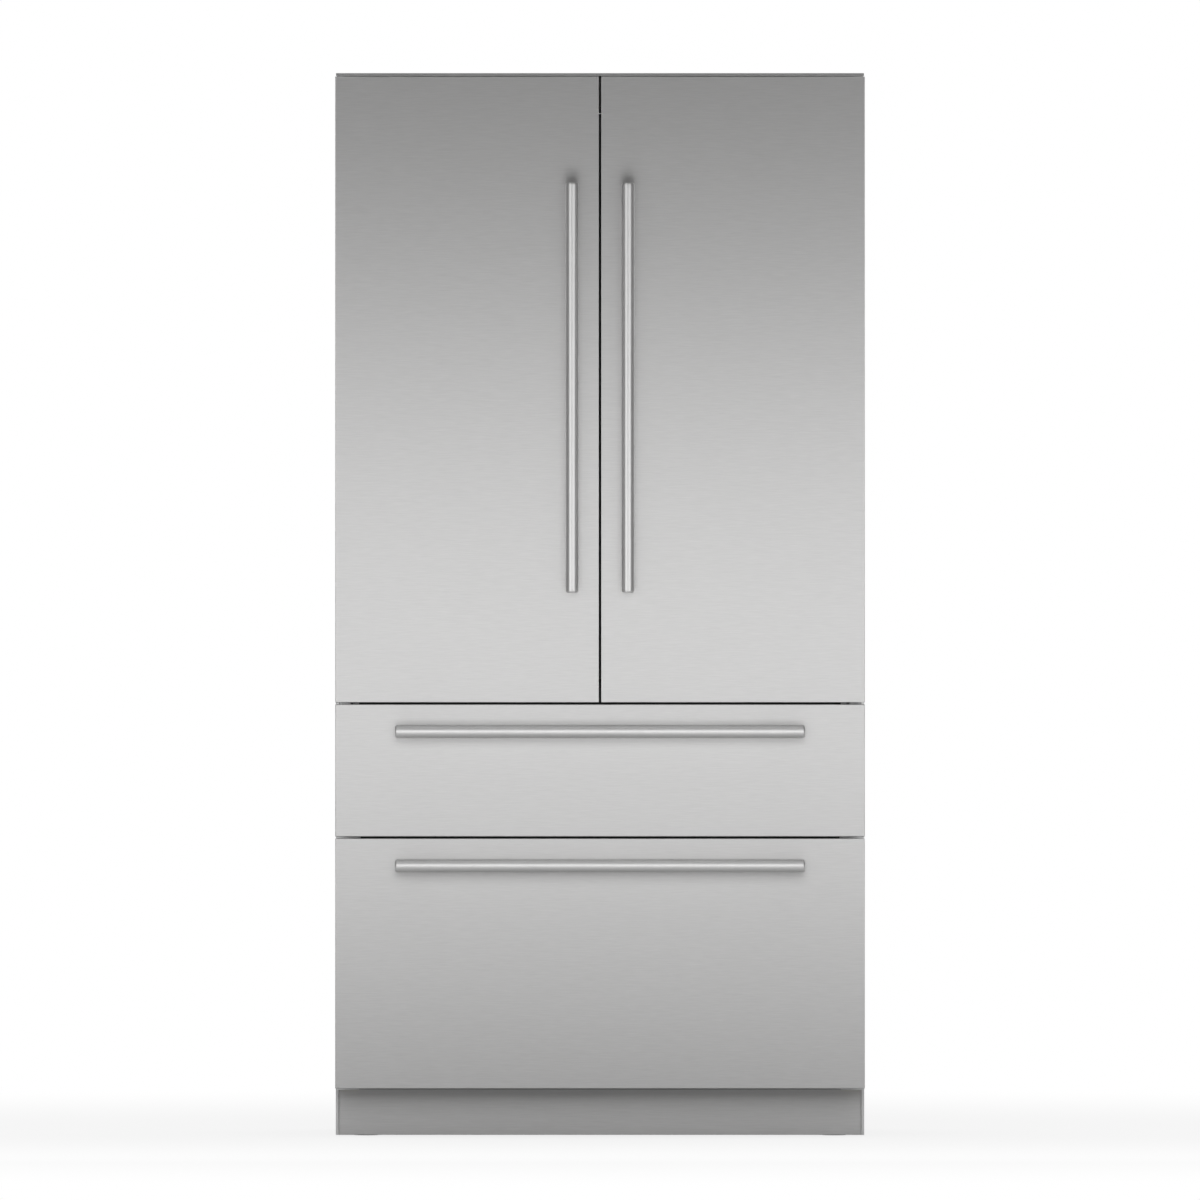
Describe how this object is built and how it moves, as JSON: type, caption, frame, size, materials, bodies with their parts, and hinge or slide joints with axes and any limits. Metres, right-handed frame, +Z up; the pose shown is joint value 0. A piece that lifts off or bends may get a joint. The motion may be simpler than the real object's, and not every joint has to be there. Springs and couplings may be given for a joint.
{
  "type": "built-in french door refrigerator",
  "caption": "Built-in refrigerator with french doors above wide freezer drawers, brushed steel fronts, round bar handles, glass shelves and a recessed toe kick.",
  "frame": {"origin": "floor level under the middle of the whole outline, handles included", "axes": "+Z up, +X to the viewer's right, doors face -Y"},
  "size_m": [1.06, 0.693, 2.13],
  "materials": {
    "cabinet_steel": "satin",
    "zinc_steel": "satin",
    "foot_rubber": "matte",
    "foam": "matte",
    "white_liner": "gloss",
    "stainless": "satin",
    "trim_aluminium": "satin",
    "shelf_glass": "polished",
    "clear_plastic": "gloss",
    "light_lens": "satin",
    "black_gloss": "gloss",
    "coil_aluminium": "satin",
    "compressor_black": "satin",
    "black_plastic": "matte",
    "door_core": "matte",
    "seal_grey": "matte"
  },
  "bodies": {
    "cabinet": {"side_panels": "cabinet_steel", "top_panel": "cabinet_steel", "back_panel": "zinc_steel", "base_frame": "zinc_steel", "levelling_feet": "foot_rubber", "insulation": "foam", "fresh_food_liner": "white_liner", "freezer_liner": "white_liner", "front_rails": "cabinet_steel", "top_trim": "stainless", "toe_kick": "stainless", "hinge_brackets": "zinc_steel", "hinge_pins": "zinc_steel", "slide_cabinet_members": "zinc_steel", "shelf_tracks": "trim_aluminium", "shelf_glass": "shelf_glass", "shelf_frames": "trim_aluminium", "crisper_cover": "white_liner", "crispers": "clear_plastic", "air_duct_cover": "white_liner", "ceiling_light": "light_lens", "control_panel": "black_gloss", "evaporator_cover": "white_liner", "evaporator_coil": "coil_aluminium", "compressor": "compressor_black", "condenser": "coil_aluminium", "condenser_fan_shroud": "black_plastic"},
    "left_door": {"left_door_panel": "stainless", "left_door_core": "door_core", "left_door_liner": "white_liner", "left_door_gasket": "seal_grey", "left_handle_bar": "stainless", "left_handle_posts": "stainless", "left_door_bins": "clear_plastic"},
    "right_door": {"right_door_panel": "stainless", "right_door_core": "door_core", "right_door_liner": "white_liner", "right_door_gasket": "seal_grey", "right_handle_bar": "stainless", "right_handle_posts": "stainless", "right_door_bins": "clear_plastic"},
    "flipper": {"flipper_mullion": "white_liner"},
    "upper_drawer": {"upper_drawer_panel": "stainless", "upper_drawer_core": "door_core", "upper_drawer_gasket": "seal_grey", "upper_handle_bar": "stainless", "upper_handle_posts": "stainless", "upper_drawer_box": "white_liner", "upper_slide_drawer_members": "zinc_steel"},
    "lower_drawer": {"lower_drawer_panel": "stainless", "lower_drawer_core": "door_core", "lower_drawer_gasket": "seal_grey", "lower_handle_bar": "stainless", "lower_handle_posts": "stainless", "lower_drawer_box": "white_liner", "lower_slide_drawer_members": "zinc_steel"},
    "upper_slide_middle": {"upper_slide_middle_members": "zinc_steel"},
    "lower_slide_middle": {"lower_slide_middle_members": "zinc_steel"},
    "evaporator_fan": {"evaporator_fan": "black_plastic"},
    "condenser_fan": {"condenser_fan": "black_plastic"}
  },
  "joints": [
    {"name": "left_door_hinge", "type": "hinge", "parent": "cabinet", "child": "left_door", "pos_m": [-0.51, -0.2315, 1.4965], "axis": [0, 0, -1], "range_deg": [0, 115]},
    {"name": "right_door_hinge", "type": "hinge", "parent": "cabinet", "child": "right_door", "pos_m": [0.51, -0.2315, 1.4965], "axis": [0, 0, 1], "range_deg": [0, 115]},
    {"name": "flipper_hinge", "type": "hinge", "parent": "left_door", "child": "flipper", "pos_m": [-0.038, -0.1882, 1.484], "axis": [0, 0, 1], "range_deg": [0, 90]},
    {"name": "upper_drawer_slide", "type": "slide", "parent": "cabinet", "child": "upper_drawer", "axis": [0, -1, 0], "range_m": [0, 0.4]},
    {"name": "upper_slide_middle_travel", "type": "slide", "parent": "cabinet", "child": "upper_slide_middle", "axis": [0, -1, 0], "range_m": [0, 0.2]},
    {"name": "lower_drawer_slide", "type": "slide", "parent": "cabinet", "child": "lower_drawer", "axis": [0, -1, 0], "range_m": [0, 0.4]},
    {"name": "lower_slide_middle_travel", "type": "slide", "parent": "cabinet", "child": "lower_slide_middle", "axis": [0, -1, 0], "range_m": [0, 0.2]},
    {"name": "evaporator_fan_spin", "type": "hinge", "parent": "cabinet", "child": "evaporator_fan", "pos_m": [0, 0.2415, 0.74], "axis": [0, 1, 0], "continuous": true},
    {"name": "condenser_fan_spin", "type": "hinge", "parent": "cabinet", "child": "condenser_fan", "pos_m": [-0.182, 0.239, 0.14], "axis": [1, 0, 0], "continuous": true}
  ],
  "couplings": [
    {"joint": "upper_slide_middle_travel", "follows": "upper_drawer_slide", "ratio": 0.5},
    {"joint": "lower_slide_middle_travel", "follows": "lower_drawer_slide", "ratio": 0.5}
  ]
}
